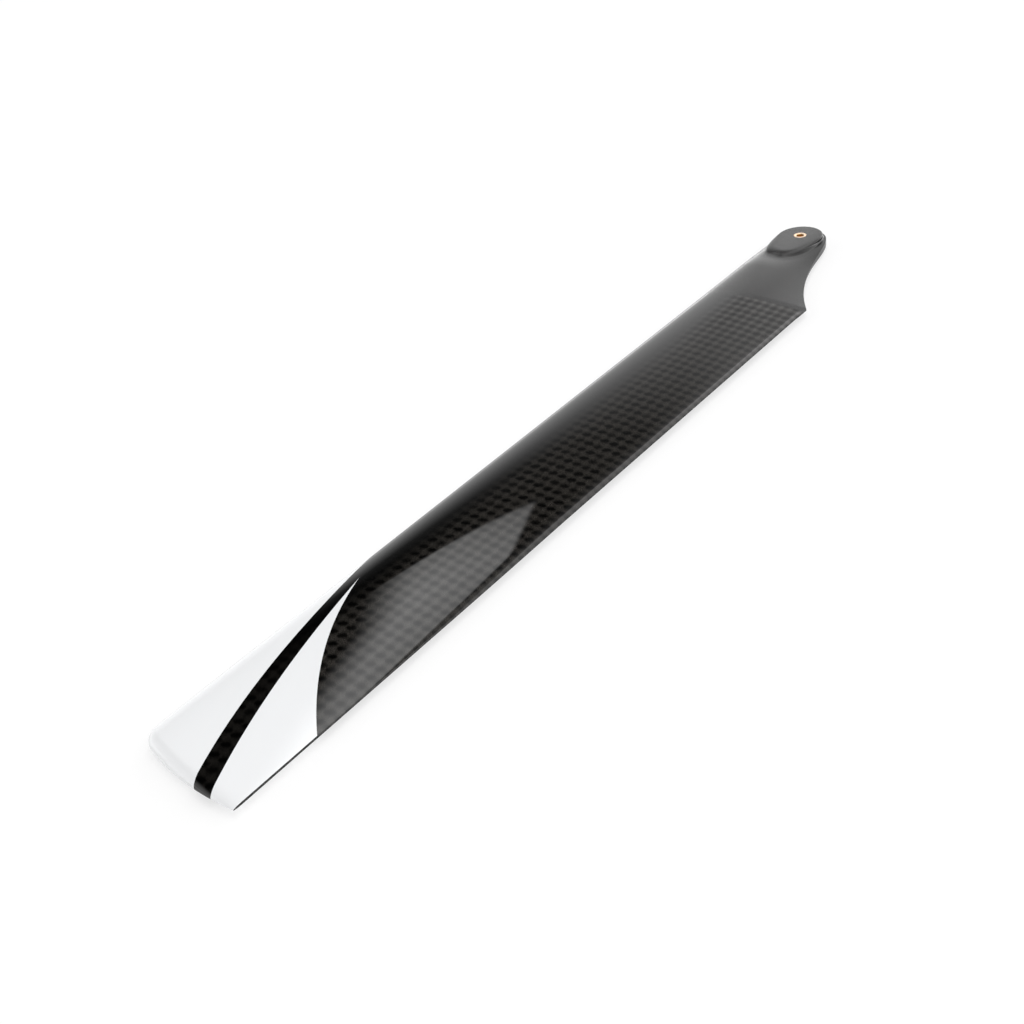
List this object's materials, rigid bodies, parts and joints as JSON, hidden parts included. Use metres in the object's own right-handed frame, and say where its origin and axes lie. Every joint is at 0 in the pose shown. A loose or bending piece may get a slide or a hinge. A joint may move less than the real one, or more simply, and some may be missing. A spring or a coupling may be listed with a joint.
{
  "type": "helicopter rotor blade",
  "caption": "Carbon rotor blade for a model helicopter: symmetric aerofoil, white striped tip, flat root boss and a brass bolt bushing.",
  "frame": {"origin": "centre of the bolt hole, at the middle of the root boss's thickness", "axes": "+X along the span towards the tip, +Y from the leading edge to the trailing edge, +Z along the bolt, up from the blade's upper surface"},
  "size_m": [0.2518, 0.028, 0.0038],
  "materials": {
    "carbon_body": "clear-coated carbon weave, matt root, white tip fields",
    "brass": "turned, bright"
  },
  "bodies": {
    "root": {"rotor_blade": "carbon_body", "bolt_bushing": "brass"}
  },
  "joints": []
}
